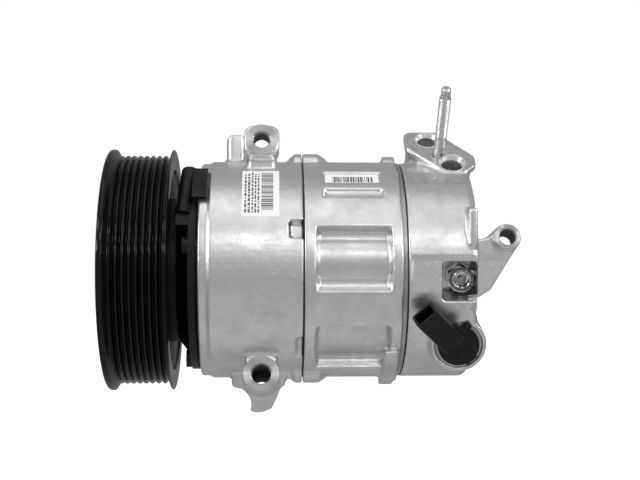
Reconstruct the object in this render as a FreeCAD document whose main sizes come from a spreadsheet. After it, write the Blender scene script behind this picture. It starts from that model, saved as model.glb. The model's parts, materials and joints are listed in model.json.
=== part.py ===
import FreeCAD, Part
import math
import os
import re
import Sketcher

# Automotive air-conditioning compressor: variable-displacement swash-plate machine with an
# electromagnetic clutch. Millimetres. X runs along the shaft, from the belt pulley (-X) to the
# rear head (+X), Z is up, and the mounting ears and the service valves face -Y.
# The origin is on the shaft axis, in the middle of the belt grooves.

Vector = FreeCAD.Vector
Rotation = FreeCAD.Rotation

DIMENSIONS = {
    # belt pulley
    "pulley_front": -20.6, "pulley_rear": 16.0, "flange_radius": 68.9, "crest_radius": 65.3,
    "groove_pitch": 3.56, "groove_depth": 2.8, "groove_top": 2.5, "groove_floor": 0.7,
    "rim_inner": 57.5, "web_front": -11.5, "web_rear": -6.5, "sleeve_inner": 27.5,
    "sleeve_outer": 32.0, "sleeve_rear": 9.5, "dish_radius": 60.0, "stop_radius": 25.5,
    "rim_round": 1.4,
    # pulley bearing
    "bearing_half": 9.0, "race_bore": 17.5, "inner_race_top": 20.4, "outer_race_floor": 24.6,
    "ball_radius": 2.75, "ball_circle": 22.5, "ball_row": 4.4,
    # magnet coil
    "coil_front": -5.0, "coil_rear": 15.0, "coil_inner": 33.5, "coil_outer": 55.5,
    "coil_wall": 2.5, "plate_radius": 57.0, "plate_front": 24.0, "barrel_radius": 41.0,
    # clutch armature and hub
    "air_gap": 0.5, "armature_thick": 4.0, "armature_inner": 34.0, "armature_outer": 56.0,
    "spring_leaf": 0.7, "hub_front": -19.5, "hub_flange": 2.0, "hub_boss": 11.0,
    # drive shaft
    "shaft_nose": 5.5, "shaft_seal_radius": 8.0, "shaft_radius": 9.0, "shaft_tail": 7.5,
    "shaft_end": 122.0,
    # front housing
    "housing_front": 31.5, "split_x": 88.4, "barrel": 62.0, "crankcase": 51.9,
    "front_wall": 40.0, "nose_front": -12.0, "nose_neck": 30.0, "lip_radius": 60.8,
    "lip_end": 37.0, "gasket_half": 0.2,
    # mounting ears
    "ear_x": 65.6, "ear_top_y": -30.0, "ear_top_z": 71.9, "ear_top_length": 12.0,
    "ear_top_hole": 4.5, "ear_width": 19.6, "ear_tilt": 15.0,
    "ear_low_y": -45.0, "ear_low_z": -56.2, "ear_low_length": 58.0, "ear_low_hole": 5.3,
    "ear_low_radius": 9.7, "stub_x": 51.5,
    # cylinder block
    "block_rear": 141.4, "bores": 7.0, "bore_radius": 13.5, "bore_circle": 38.0,
    "bulge_radius": 19.0, "bore_first": 5.6, "bolt_first": 31.3, "bolt_circle": 55.6,
    "bolt_radius": 2.9, "bolt_hole": 3.2, "boss_radius": 7.2, "boss_circle": 59.5,
    # valve plate stack
    "reed_thick": 0.4, "valve_plate_thick": 1.2, "plate_stack": 61.5,
    # rear head
    "head_front": 144.0, "head_rear": 182.0, "head_radius": 61.4, "chamber_depth": 15.0,
    # relief valve
    "relief_x": 173.0, "relief_y": -55.0, "relief_z": -6.0, "service_tilt": 17.0,
    "relief_reach": 12.0, "relief_cap": 6.5, "relief_hex": 14.0,
    # control valve
    "control_x": 172.0, "control_y": -50.5, "control_z": -41.0, "control_boss": 15.2,
    "control_bore": 12.1, "control_length": 42.0,
    # hose flange
    "port_x": 166.5, "port_y": -16.5, "port_z": 67.3, "port_tilt": 42.0,
    "port_gap": 10.9, "port_side": 6.0, "suction_radius": 5.9, "discharge_radius": 5.3,
    "port_depth": 29.0, "spigot_depth": 11.2, "port_chamfer": 2.2, "passage_step": 0.6,
    "stud_radius": 3.3, "stud_reach": 45.0,
    # rear mounting arm
    "arm_x": 206.5, "arm_y": -11.5, "arm_z": 18.8, "arm_boss": 7.9, "arm_hole": 4.7,
    "arm_length": 16.0,
    # swash plate and pistons
    "swash_front": 78.0, "swash_rear": 86.0, "swash_radius": 46.0, "piston_front": 66.0,
    "piston_top": 140.2, "piston_radius": 13.4, "shoe_sphere": 9.0,
}

GROOVES = 8
BORES = 7
BOSSED_BOLTS = range(1, 6)
BOLT_HEAD = 4.9
ALONG_X = Vector(1, 0, 0)
WORD = re.compile(r"[A-Za-z_]+")

document = FreeCAD.newDocument("ac_compressor")
sheet = document.addObject("Spreadsheet::Sheet", "Dims")
for row_number, (alias, number) in enumerate(DIMENSIONS.items(), start=1):
    sheet.set(f"A{row_number}", alias)
    sheet.set(f"B{row_number}", str(number))
    sheet.setAlias(f"B{row_number}", alias)
document.recompute()

nodes = {}


# ---------------------------------------------------------------- helpers

def size(alias):
    """The number that the sheet holds for one alias."""
    return getattr(sheet, alias)


def formula(expression):
    """The expression with every alias in it pointed at the sheet."""
    text = str(expression)
    return WORD.sub(lambda word: f"Dims.{word[0]}" if word[0] in DIMENSIONS else word[0], text)


def bind(item, name, expression):
    item.setExpression(name, formula(expression))


def node(name, item):
    """Names the finished sub-part and keeps it for the export."""
    item.Label = name
    nodes[name] = item
    return item


def place(item, point, turn=None):
    """Puts an object at a point given as three sheet expressions."""
    item.Placement = FreeCAD.Placement(Vector(), turn or Rotation())
    for axis, expression in zip("xyz", point):
        bind(item, f".Placement.Base.{axis}", expression)
    return item


def aim(direction, side=ALONG_X):
    """The turn whose z axis is the direction and whose x axis lies near the side given."""
    return Rotation(side, Vector(), direction, "ZXY")


def along(point, direction, distance):
    """The point that lies a distance from another one, as three expressions."""
    return tuple(
        f"({start}) + {step:.6f} * ({distance})" for start, step in zip(point, direction)
    )


def tilted(angle):
    """Unit vector that looks at -Y, raised by the angle."""
    turn = math.radians(angle)
    return Vector(0, -math.cos(turn), math.sin(turn))


def polar(radius, angle):
    """Y and Z at a radius, the angle counted from -Y upward."""
    turn = math.radians(angle)
    return f"{-math.cos(turn):.6f} * ({radius})", f"{math.sin(turn):.6f} * ({radius})"


def spot(radius, angle):
    """Y and Z at a radius as numbers, the angle counted from -Y upward."""
    turn = math.radians(angle)
    return -math.cos(turn) * radius, math.sin(turn) * radius


def around(angle):
    """The turn about the shaft that carries local +Y outward at the angle."""
    return Rotation(ALONG_X, 180 - angle)


def rod(name, radius, length, point, direction=ALONG_X, sweep=360):
    item = document.addObject("Part::Cylinder", name)
    bind(item, "Radius", radius)
    bind(item, "Height", length)
    item.Angle = sweep
    return place(item, point, aim(direction, Vector(0, 0, 1) if direction == ALONG_X else ALONG_X))


def cone(name, start_radius, end_radius, length, point, direction=ALONG_X):
    item = document.addObject("Part::Cone", name)
    bind(item, "Radius1", start_radius)
    bind(item, "Radius2", end_radius)
    bind(item, "Height", length)
    return place(item, point, aim(direction, Vector(0, 0, 1) if direction == ALONG_X else ALONG_X))


def ball(name, radius, point):
    item = document.addObject("Part::Sphere", name)
    bind(item, "Radius", radius)
    return place(item, point)


def block(name, spans, point, turn=None):
    """Box with its three spans as expressions, its corner at the point."""
    item = document.addObject("Part::Box", name)
    for side, span in zip(("Length", "Width", "Height"), spans):
        bind(item, side, span)
    return place(item, point, turn)


def hexagon(name, across, length, point, direction, corner=ALONG_X):
    item = document.addObject("Part::Prism", name)
    item.Polygon = 6
    bind(item, "Circumradius", f"({across}) / 1.732")
    bind(item, "Height", length)
    return place(item, point, aim(direction, corner))


def window(name, floor, rim, depth, point, turn):
    """Sunk pocket's cutter: a box that widens outward, floor and rim as (length, width)."""
    item = document.addObject("Part::Wedge", name)
    for low, high, span in (
        ("Xmin", "Xmax", floor[0]), ("Zmin", "Zmax", floor[1]),
        ("X2min", "X2max", rim[0]), ("Z2min", "Z2max", rim[1]),
    ):
        bind(item, low, f"-({span}) / 2")
        bind(item, high, f"({span}) / 2")
    item.Ymin = 0
    bind(item, "Ymax", depth)
    return place(item, point, turn)


def fused(name, *items):
    item = document.addObject("Part::MultiFuse", name)
    item.Shapes = list(items)
    item.Refine = False
    return item


def cut(name, base, *tools):
    item = document.addObject("Part::Cut", name)
    item.Base = base
    item.Tool = tools[0] if len(tools) == 1 else fused(name + "_tools", *tools)
    item.Refine = False
    return item


def shared(name, first, second):
    """What two shapes have in common."""
    item = document.addObject("Part::Common", name)
    item.Base = first
    item.Tool = second
    return item


def group(name, items):
    """Separate solids kept together in one sub-part."""
    item = document.addObject("Part::Compound", name)
    item.Links = list(items)
    return item


def rounded(item, radius, pick):
    """Fillet on the edges that the pick function accepts."""
    document.recompute()
    chosen = [i for i, edge in enumerate(item.Shape.Edges, start=1) if pick(edge)]
    smooth = document.addObject("Part::Fillet", item.Name + "_round")
    smooth.Base = item
    smooth.Edges = [(i, radius, radius) for i in chosen]
    return smooth


def parallel(edge, direction):
    """True for a straight edge that runs along the direction."""
    if not isinstance(edge.Curve, Part.Line):
        return False
    return abs(abs(edge.Curve.Direction.dot(direction)) - 1) < 1e-4


def outline(sketch, corners):
    """Closed straight-sided outline, each corner held by two sheet expressions."""
    count = len(corners)
    ring = [Vector(math.cos(-math.tau * i / count), math.sin(-math.tau * i / count), 0)
            for i in range(count)]
    for i in range(count):
        sketch.addGeometry(Part.LineSegment(ring[i], ring[(i + 1) % count]))
    for i in range(count):
        sketch.addConstraint(Sketcher.Constraint("Coincident", i, 2, (i + 1) % count, 1))
    for i, corner in enumerate(corners):
        for kind, expression in zip(("DistanceX", "DistanceY"), corner):
            held = sketch.addConstraint(Sketcher.Constraint(kind, -1, 1, i, 1, 1.0))
            bind(sketch, f"Constraints[{held}]", expression)


def body_sketch(body, name, role):
    sketch = body.newObject("Sketcher::SketchObject", name)
    plane = next(item for item in body.Origin.OriginFeatures if item.Role == role)
    sketch.AttachmentSupport = [(plane, "")]
    sketch.MapMode = "FlatFace"
    return sketch


def turned(name, corners):
    """Body revolved about the shaft axis from (x, radius) corners."""
    body = document.addObject("PartDesign::Body", name)
    sketch = body_sketch(body, name + "_profile", "XZ_Plane")
    outline(sketch, corners)
    revolution = body.newObject("PartDesign::Revolution", name + "_turned")
    revolution.Profile = sketch
    revolution.ReferenceAxis = (sketch, ["H_Axis"])
    revolution.Angle = 360
    body.Tip = revolution
    return body


def ring(name, x_start, x_end, inner, outer):
    return turned(name, [(x_start, inner), (x_start, outer), (x_end, outer), (x_end, inner)])


def drilled(body, name, radius, circle, angle, count):
    """Holes through a turned body, parallel to the shaft, evenly spaced on a circle."""
    document.recompute()
    sketch = body_sketch(body, name + "_sketch", "YZ_Plane")
    sketch.addGeometry(Part.Circle(Vector(9, 9, 0), Vector(0, 0, 1), 1))
    bind(sketch, f"Constraints[{sketch.addConstraint(Sketcher.Constraint('Radius', 0, 1))}]", radius)
    for kind, expression in zip(("DistanceX", "DistanceY"), polar(circle, angle)):
        held = sketch.addConstraint(Sketcher.Constraint(kind, -1, 1, 0, 3, 1.0))
        bind(sketch, f"Constraints[{held}]", expression)
    pocket = body.newObject("PartDesign::Pocket", name)
    pocket.Profile = sketch
    pocket.Type = "ThroughAll"
    pocket.Midplane = True
    body.Tip = pocket
    document.recompute()
    pattern = body.newObject("PartDesign::PolarPattern", name + "_pattern")
    pattern.Originals = [pocket]
    pattern.Axis = (sketch, ["N_Axis"])
    pattern.Angle = 360
    pattern.Occurrences = count
    body.Tip = pattern
    return body


def prism(name, corners, length, point, turn):
    """Outline pushed along its own normal, as a solid."""
    sketch = document.addObject("Sketcher::SketchObject", name + "_outline")
    outline(sketch, corners)
    place(sketch, point, turn)
    item = document.addObject("Part::Extrusion", name)
    item.Base = sketch
    item.DirMode = "Normal"
    item.Solid = True
    bind(item, "LengthFwd", length)
    return item


def coil_spring(name, radius, wire, pitch, length, point, direction):
    """Round-wire compression spring."""
    line = Part.makeHelix(pitch, length, radius)
    section = Part.Wire(Part.makeCircle(wire, Vector(radius, 0, 0), Vector(0, 1, 0)))
    spring = document.addObject("Part::Feature", name)
    spring.Shape = Part.Wire(line).makePipeShell([section], True, True)
    return place(spring, point, aim(direction))


# ---------------------------------------------------------------- pulley and its bearing

def make_pulley():
    corners = [
        ("web_front", "stop_radius"), ("web_front", "dish_radius"),
        ("pulley_front", "dish_radius + 2"), ("pulley_front", "flange_radius - rim_round"),
        ("pulley_front + rim_round / 3", "flange_radius - rim_round / 3"),
        ("pulley_front + rim_round", "flange_radius"),
        ("pulley_front + 3.2", "flange_radius"),
        (f"-groove_pitch * {GROOVES / 2} - 0.6", "crest_radius - 0.6"),
    ]
    for i in range(GROOVES):
        middle = f"groove_pitch * {i - (GROOVES - 1) / 2}"
        corners += [
            (f"{middle} - groove_top / 2", "crest_radius"),
            (f"{middle} - groove_floor / 2", "crest_radius - groove_depth"),
            (f"{middle} + groove_floor / 2", "crest_radius - groove_depth"),
            (f"{middle} + groove_top / 2", "crest_radius"),
        ]
    corners += [
        ("pulley_rear - 1.3", "crest_radius"), ("pulley_rear - 1.1", "flange_radius - 0.6"),
        ("pulley_rear - 0.5", "flange_radius"), ("pulley_rear", "flange_radius - 0.6"),
        ("pulley_rear", "rim_inner"), ("web_rear", "rim_inner"), ("web_rear", "sleeve_outer"),
        ("sleeve_rear", "sleeve_outer"), ("sleeve_rear", "sleeve_inner"),
        ("-bearing_half", "sleeve_inner"), ("-bearing_half", "stop_radius"),
    ]
    blank = turned("pulley_blank", corners)
    slots = []
    for radius, count, sweep in ((38.5, 6, 44), (50.0, 6, 46)):
        for i in range(count):
            slots.append(arc_slot(f"flux_slot_{int(radius)}_{i}", radius, 2.2, sweep, 360 / count * i))
    node("pulley", cut("pulley_cut", blank, *slots))


def arc_slot(name, radius, width, sweep, start):
    """Banana slot through the pulley's friction disc."""
    outer = rod(name + "_outer", radius + width / 2, 9, ("web_front - 2", 0, 0), sweep=sweep)
    inner = rod(name + "_inner", radius - width / 2, 9, ("web_front - 2", 0, 0), sweep=sweep)
    for item in (outer, inner):
        item.Placement.Rotation = Rotation(ALONG_X, start).multiply(item.Placement.Rotation)
    return cut(name, outer, inner)


def make_pulley_bearing():
    outer = ring("outer_race_blank", "-bearing_half", "bearing_half", "outer_race_floor",
                 "sleeve_inner")
    inner = ring("inner_race_blank", "-bearing_half", "bearing_half", "race_bore",
                 "inner_race_top")
    for name, race in (("pulley_bearing_outer_race", outer), ("pulley_bearing_inner_race", inner)):
        tracks = []
        for side in (-1, 1):
            track = document.addObject("Part::Torus", f"{name}_track_{side + 1}")
            bind(track, "Radius1", "ball_circle")
            bind(track, "Radius2", "ball_radius + 0.06")
            tracks.append(place(track, (f"{side} * ball_row", 0, 0), aim(ALONG_X, Vector(0, 0, 1))))
        node(name, cut(name + "_cut", race, *tracks))
    balls = []
    for side in (-1, 1):
        for i in range(18):
            y, z = polar("ball_circle", i * 20 + side * 5)
            balls.append(ball(f"bearing_ball_{side + 1}_{i}", "ball_radius",
                              (f"{side} * ball_row", y, z)))
    node("pulley_bearing_balls", group("bearing_balls", balls))
    node("pulley_snap_ring", ring("bearing_ring", "-bearing_half - 1.5", "-bearing_half",
                                  "race_bore - 0.8", "inner_race_top - 0.2"))


# ---------------------------------------------------------------- magnet coil

def make_coil():
    node("coil_housing", turned("coil_shell", [
        ("coil_front", "coil_inner"), ("coil_front", "coil_inner + coil_wall"),
        ("coil_rear - 4", "coil_inner + coil_wall"), ("coil_rear - 4", "coil_outer - coil_wall"),
        ("coil_front", "coil_outer - coil_wall"), ("coil_front", "coil_outer"),
        ("coil_rear", "coil_outer"), ("coil_rear", 19.7), ("coil_rear - 4", 19.7),
        ("coil_rear - 4", "coil_inner"),
    ]))
    node("coil_winding", ring("winding", "coil_front + 1.5", "coil_rear - 4",
                              "coil_inner + coil_wall", "coil_outer - coil_wall"))
    node("coil_snap_ring", ring("coil_ring", 9.7, 11, 18.4, 23))
    plate = turned("backplate_blank", [
        ("coil_rear", "nose_neck"), ("coil_rear", "barrel_radius"), (19, "barrel_radius"),
        ("plate_front - 1", "barrel_radius + 5"), ("plate_front + 2.5", "plate_radius - 5"),
        ("plate_front + 2.5", "plate_radius"), ("housing_front - 1.2", "plate_radius"),
        ("housing_front", "plate_radius - 1.2"), ("housing_front", "nose_neck"),
    ])
    lugs = []
    for i, angle in enumerate((-74, 14, 106, 196)):
        y, z = polar("plate_radius - 5", angle)
        lugs.append(rod(f"plate_lug_{i}", 5, "housing_front - plate_front + 0.6",
                        ("plate_front - 0.6", y, z)))
    node("coil_backplate", fused("backplate", plate, *lugs))
    make_coil_connector()


def make_coil_connector():
    """Two-pin socket that stands beside the coil, its mouth looking up."""
    foot = (23.4, -46.0, 29.0)
    mouth = (26.4, -29.0, 54.0)
    direction = Vector(*mouth) - Vector(*foot)
    length = direction.Length
    direction.normalize()
    tube = rod("socket_tube", 4.9, length, foot, direction)
    base = block("socket_base", (7.5, 15, 18), (19.6, -51.0, 24.0), Rotation(ALONG_X, -28))
    clip = shared("lead_clip", ring("clip_band", 28.2, 36, "lip_radius + 0.2", "lip_radius + 2.8"),
                  block("clip_zone", (12, 24, 17), (27, -52, 39)))
    hollow = rod("socket_hollow", 3.7, 6.5, along(mouth, direction, -5.5), direction)
    clear = rod("socket_clear", "barrel_radius + 0.1", 30, (10, 0, 0))
    lid = turned("plate_clear", [
        (18, 0), (18, "barrel_radius + 0.1"), ("plate_front - 1", "barrel_radius + 5.1"),
        ("plate_front + 2.4", "plate_radius - 4.9"), ("plate_front + 2.4", "plate_radius + 0.2"),
        (44, "plate_radius + 0.2"), (44, 0),
    ])
    shell = fused("socket_held", cut("socket_shell", fused("socket_solid", tube, base), clear, lid), clip)
    shell = cut("socket_open", shell, hollow)
    pins = [
        rod(f"socket_pin_{i}", 0.7, 5, along((mouth[0] + side, mouth[1], mouth[2]), direction, -7),
            direction)
        for i, side in enumerate((-1.6, 1.6))
    ]
    node("coil_connector", fused("connector", shell, *pins))


# ---------------------------------------------------------------- armature and hub

def make_armature():
    rear = "web_front - air_gap"
    front = f"{rear} - armature_thick"
    disc = ring("armature_disc", front, rear, "armature_inner", "armature_outer")
    slots = [
        cut(f"plate_slot_{i}",
            rod(f"plate_slot_outer_{i}", 46.5, 9, ("web_front - 7", 0, 0), sweep=70),
            rod(f"plate_slot_inner_{i}", 44.0, 9, ("web_front - 7", 0, 0), sweep=70))
        for i in range(4)
    ]
    for i, slot in enumerate(slots):
        slot.Placement = FreeCAD.Placement(Vector(), Rotation(ALONG_X, 90 * i))
    node("armature_plate", cut("armature_cut", disc, *slots))
    leaves = []
    rivets = []
    for i in range(3):
        inner_y, inner_z = spot(21, 120 * i + 30)
        outer_y, outer_z = spot(43, 120 * i + 88)
        run = Vector(0, outer_y - inner_y, outer_z - inner_z)
        reach = run.Length
        run.normalize()
        side = ALONG_X.cross(run)
        corner = Vector(0, inner_y, inner_z) - run * 6 - side * 5.5
        leaf = block(f"leaf_{i}", ("spring_leaf", reach + 12, 11),
                     (f"{front} - spring_leaf", corner.y, corner.z), Rotation(ALONG_X, run, side, "XYZ"))
        leaves.append(rounded(leaf, 5.4, lambda edge: parallel(edge, ALONG_X)))
        rivets.append(rod(f"rivet_{i}", 2.8, 1.3, (f"{front} - spring_leaf - 1.3", outer_y, outer_z)))
    node("armature_springs", group("leaf_springs", leaves))
    node("armature_rivets", group("rivet_heads", rivets))


def make_hub():
    blank = turned("hub_blank", [
        ("hub_front", 9), ("hub_front", 29), ("hub_front + hub_flange", 29),
        ("hub_front + hub_flange", "hub_boss"), ("-8", "hub_boss"), ("-8", "shaft_nose"),
        (-16.5, "shaft_nose"), (-16.5, 9),
    ])
    node("clutch_hub", drilled(blank, "hub_hole", 3, 21, 30, 3))
    head = hexagon("bolt_hex", 10, 3.4, (-19.9, 0, 0), ALONG_X)
    flange = rod("bolt_flange", 8, 1.2, (-17.7, 0, 0))
    shank = rod("bolt_shank", 2.95, 13, (-17.7, 0, 0))
    node("hub_bolt", fused("bolt", head, flange, shank))
    node("hub_shim", ring("shim", "-8", "-7.5", "shaft_nose", 7.8))


# ---------------------------------------------------------------- shaft, seal and bearings

def make_shaft():
    node("drive_shaft", turned("shaft", [
        (-16.5, 3), (-16.5, "shaft_nose"), (-7.5, "shaft_nose"), (-7.5, "shaft_seal_radius"),
        (18, "shaft_seal_radius"), (19, "shaft_radius"), (104, "shaft_radius"),
        (104, "shaft_tail"), ("shaft_end - 1", "shaft_tail"), ("shaft_end", "shaft_tail - 1"),
        ("shaft_end", 0), (-2, 0), (-3, 3),
    ]))
    node("shaft_seal", turned("seal", [
        (4, "shaft_seal_radius + 0.06"), (4, 13.5), (12, 13.5), (12, 11), (7, 11),
        (6, "shaft_seal_radius + 0.06"),
    ]))
    node("seal_snap_ring", ring("seal_ring", 2.6, 3.8, 11, 14.4))
    node("front_bearing", ring("front_needle_bearing", 20, 36, "shaft_radius + 0.05", 13))
    node("thrust_bearing", ring("thrust_race", "front_wall", "front_wall + 3.5", 14, 26))
    node("rear_bearing", ring("rear_needle_bearing", 106, 120, "shaft_tail + 0.05", 12))


# ---------------------------------------------------------------- swash plate drive

def make_swash_drive():
    lug = turned("lug_blank", [
        ("front_wall + 3.6", "shaft_radius"), ("front_wall + 3.6", 27),
        ("front_wall + 5", 44), ("front_wall + 12", 44), ("front_wall + 12", "shaft_radius"),
    ])
    arms = [block(f"lug_arm_{i}", (11, 7, 9.4), ("front_wall + 11", f"{side} * 10 - 3.5", 14.4))
            for i, side in enumerate((-1, 1))]
    sockets = [rod(f"lug_socket_{i}", 2.9, 14, ("front_wall + 12.5", f"{side} * 10", 18.6))
               for i, side in enumerate((-1, 1))]
    node("lug_plate", cut("lug", fused("lug_solid", lug, *arms), *sockets))
    node("swash_plate", turned("swash", [
        (68, "shaft_radius + 0.05"), (68, 13.6), ("swash_front", 13.6),
        ("swash_front", "swash_radius - 0.6"), ("swash_front + 0.6", "swash_radius"),
        ("swash_rear - 0.6", "swash_radius"), ("swash_rear", "swash_radius - 0.6"),
        ("swash_rear", 13.6), ("swash_rear + 2", 13.6), ("swash_rear + 2", "shaft_radius + 0.05"),
    ]))
    pins = [rod(f"guide_pin_{i}", 2.7, "swash_front - 55", (55, f"{side} * 10", 18.6))
            for i, side in enumerate((-1, 1))]
    node("guide_pins", group("pins", pins))
    node("destroke_spring", coil_spring("return_spring", 11.6, 1.1, 4.0, 13.0,
                                        (53.4, 0, 0), ALONG_X))


def make_piston(number):
    """Single-headed piston whose bridge reaches round the swash plate's rim."""
    angle = size("bore_first") + 360 / BORES * number
    y, z = polar("bore_circle", angle)
    blank = rod(f"piston_blank_{number}", "piston_radius", "piston_top - piston_front",
                ("piston_front", y, z))
    middle = "(swash_front + swash_rear) / 2"
    slot = block(f"piston_slot_{number}", ("swash_rear - swash_front + 3", 47.5, 60),
                 ("swash_front - 1.5", *polar(30, angle + 90)), around(angle))
    socket = ball(f"piston_socket_{number}", "shoe_sphere + 0.05", (middle, y, z))
    groove = cut(f"ring_groove_{number}",
                 rod(f"ring_groove_outer_{number}", "piston_radius + 1", 1.6, ("piston_top - 6", y, z)),
                 rod(f"ring_groove_inner_{number}", "piston_radius - 1", 1.6, ("piston_top - 6", y, z)))
    hollow = rod(f"piston_hollow_{number}", "piston_radius - 3", 30, ("piston_top - 36", y, z))
    node(f"piston_{number + 1}", cut(f"piston_cut_{number}", blank, slot, socket, groove, hollow))
    shoes = []
    for side, start, span in ((0, "swash_front - 3.95", 3.9), (1, "swash_rear + 0.05", 3.9)):
        shoe = document.addObject("Part::Common", f"shoe_{number}_{side}")
        shoe.Base = ball(f"shoe_ball_{number}_{side}", "shoe_sphere", (middle, y, z))
        shoe.Tool = rod(f"shoe_slice_{number}_{side}", 12, span, (start, y, z))
        shoes.append(shoe)
    return shoes


def make_pistons():
    shoes = []
    for number in range(BORES):
        shoes += make_piston(number)
    node("piston_shoes", group("shoes", shoes))


# ---------------------------------------------------------------- front housing

def bolt_angles():
    return [size("bolt_first") + 360 / BORES * i for i in range(BORES)]


def bolt_holes(name, x_start, length, radius="bolt_hole"):
    holes = []
    for i, angle in enumerate(bolt_angles()):
        y, z = polar("bolt_circle", angle)
        holes.append(rod(f"{name}_{i}", radius, length, (x_start, y, z)))
    return holes


def bolt_bosses(name, x_start, length, taper, taper_at_start):
    """Bosses in which the outer through bolts cross the split, tapered at their free end."""
    bosses = []
    for i in BOSSED_BOLTS:
        y, z = polar("boss_circle", bolt_angles()[i])
        bosses.append(rod(f"{name}_{i}", "boss_radius", length, (x_start, y, z)))
        start = f"({x_start}) - {taper}" if taper_at_start else f"({x_start}) + ({length})"
        radii = ("boss_radius - 3", "boss_radius")
        first, last = radii if taper_at_start else radii[::-1]
        bosses.append(cone(f"{name}_end_{i}", first, last, taper, (start, y, z)))
    return bosses


def make_ears():
    """The two long ears on the housing's front side, and the short one beside the upper ear."""
    outward = tilted(size("ear_tilt"))
    inward = outward * -1
    top = ("ear_x", "ear_top_y", "ear_top_z")
    low = ("ear_x", "ear_low_y", "ear_low_z")
    upward = ALONG_X.cross(inward)
    corner = along(along(along(top, inward, "ear_top_length"), upward, -9.2), ALONG_X,
                   "-ear_width / 2")
    head = block("ear_head", ("ear_width", "ear_width * 0.92", "ear_top_length"), corner,
                 aim(outward))
    head = rounded(head, 5.5, lambda edge: parallel(edge, outward))
    stem = block("ear_stem", ("ear_width - 2.6", 14, 24),
                 ("ear_x - ear_width / 2 + 1.3", "ear_top_y + 2.2", "ear_top_z - 32"))
    stem = rounded(stem, 4.0, lambda edge: parallel(edge, Vector(0, 0, 1)))
    facing = rod("ear_facing", "ear_width / 2 - 0.5", 1.5, along(top, inward, -0.5), inward)
    stub_cap = block("ear_stub_cap", (11, 17, 20.4), ("stub_x - 6.4", -1, 58), Rotation(ALONG_X, -6))
    stub_cap = rounded(stub_cap, 3.6, lambda edge: not parallel(edge, ALONG_X))
    tube = cone("ear_tube", "ear_low_radius", "ear_low_radius - 2", "ear_low_length", low, inward)
    collar = rod("ear_collar", "ear_low_radius + 0.5", 9, along(low, inward, 1.2), inward)
    wing = prism("ear_wing", [
        (-17, 4), (-16.6, -8.1), (-15.2, -9.6), (-10.1, -10.7), (-6.5, -14.8), (-5.5, -19.4),
        (-6.2, -22.6), (-3.5, -23.6), (0.6, -23.4), (5.7, -21.4), (8.3, -15.8), (10.8, -9.9),
        (13.3, -8.1), (14, 6),
    ], 20, ("ear_x", "ear_low_y + 41", "ear_low_z"), Rotation(ALONG_X, 90))
    web = block("ear_web", ("ear_width - 3", 24, 17), ("ear_x - ear_width / 2 + 1.5", -42, -54))
    web = rounded(web, 4.0, lambda edge: parallel(edge, Vector(0, 1, 0)))
    solids = [head, stem, facing, stub_cap, tube, collar, wing, web]
    holes = [
        rod("ear_top_bore", "ear_top_hole", 40, along(top, inward, -6), inward),
        rod("ear_low_bore", "ear_low_hole", 70, along(low, inward, -6), inward),
        cone("ear_top_sink", "ear_top_hole + 1.2", "ear_top_hole", 1.2, along(top, inward, -0.5), inward),
        cone("ear_low_sink", "ear_low_hole + 0.8", "ear_low_hole", 0.8, low, inward),
    ]
    return solids, holes


def make_front_housing():
    shell = turned("housing_shell", [
        ("nose_front", 13.5), ("nose_front", "race_bore - 0.6"), ("nose_front + 0.6", "race_bore"),
        ("bearing_half", "race_bore"), ("bearing_half", 19.5), ("coil_rear", 19.5),
        ("coil_rear", "nose_neck"), ("housing_front", "nose_neck"),
        ("housing_front", "lip_radius - 1"), ("housing_front + 1", "lip_radius"),
        ("lip_end", "lip_radius"), ("lip_end + 1", "barrel"),
        ("split_x - gasket_half", "barrel"), ("split_x - gasket_half", "crankcase"),
        ("front_wall + 3", "crankcase"), ("front_wall", "crankcase - 3"), ("front_wall", 13),
        (19.5, 13), (19.5, 9.6), (12.5, 9.6), (12.5, 13.5),
    ])
    ears, ear_holes = make_ears()
    bosses = bolt_bosses("front_boss", "split_x - gasket_half - 4", 4, 3.4, True)
    solid = fused("housing_solid", shell, *ears, *bosses)
    inside = turned("housing_inside", [
        ("front_wall + 3", 0), ("front_wall + 3", "crankcase"),
        ("split_x + 12", "crankcase"), ("split_x + 12", 0),
    ])
    beyond = rod("housing_beyond", 90, 30, ("split_x - gasket_half", 0, 0))
    ring_grooves = [
        ring("bearing_ring_groove", "-bearing_half - 1.5", "-bearing_half", "race_bore - 0.8", 19),
        ring("seal_ring_groove", 2.6, 3.8, 12, 14.4),
        ring("coil_ring_groove", 9.7, 11, 18.4, 20),
    ]
    pocket_y, pocket_z = polar(57.5, 20.6)
    pocket = window("bolt_pocket", (9, 9), (12, 12), 9, ("split_x - 3", pocket_y, pocket_z),
                    around(20.6))
    low_y, low_z = polar(60.4, -43)
    low_pocket = window("low_pocket", (5, 14), (6, 17), 4, ("split_x - 1.5", low_y, low_z),
                        around(-43))
    holes = bolt_holes("housing_bolt_hole", "split_x - 18", 20, "bolt_radius")
    node("front_housing", cut("housing", solid, inside, beyond, pocket, low_pocket,
                              *ring_grooves, *holes, *ear_holes))
    gasket = ring("gasket_blank", "split_x - gasket_half", "split_x + gasket_half",
                  "crankcase", "barrel - 0.3")
    node("housing_gasket", drilled(gasket, "gasket_hole", "bolt_hole", "bolt_circle",
                                   size("bolt_first"), BORES))


# ---------------------------------------------------------------- cylinder block

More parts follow.
